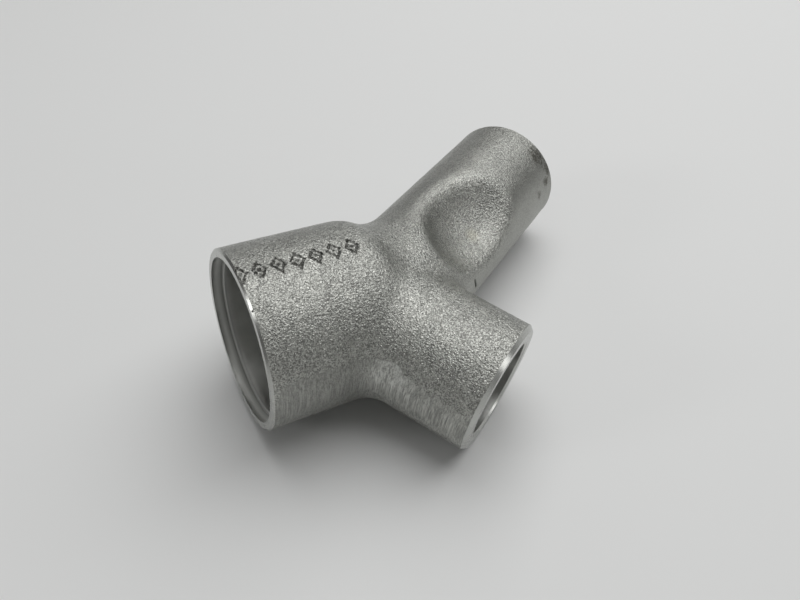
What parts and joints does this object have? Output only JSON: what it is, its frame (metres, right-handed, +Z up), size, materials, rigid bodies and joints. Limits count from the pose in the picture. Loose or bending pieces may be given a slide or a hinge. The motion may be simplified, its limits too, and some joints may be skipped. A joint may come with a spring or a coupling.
{
  "type": "pipe y fitting",
  "caption": "Y-shaped cast aluminium pipe fitting: a wide machined socket, a short branch, and a long arm with a smooth round hollow in its side.",
  "frame": {"origin": "centre of the bottom of the bounding box, on the surface that the fitting lies on", "axes": "+Z up, with the fitting lying at rest on its shoulder and on the rims of its two side legs; +X runs from the wide socket's mouth into the body, level, over the socket's axis, which slopes down by about 6.6 degrees; the short branch points towards -Y and the hollow faces up"},
  "size_m": [0.123, 0.1036, 0.0533],
  "materials": {
    "cast_aluminium": "sand-cast, matte and grainy, ground along part of the parting line and machined bright at the mouths"
  },
  "bodies": {
    "root": {"fitting_body": "cast_aluminium"}
  },
  "joints": []
}
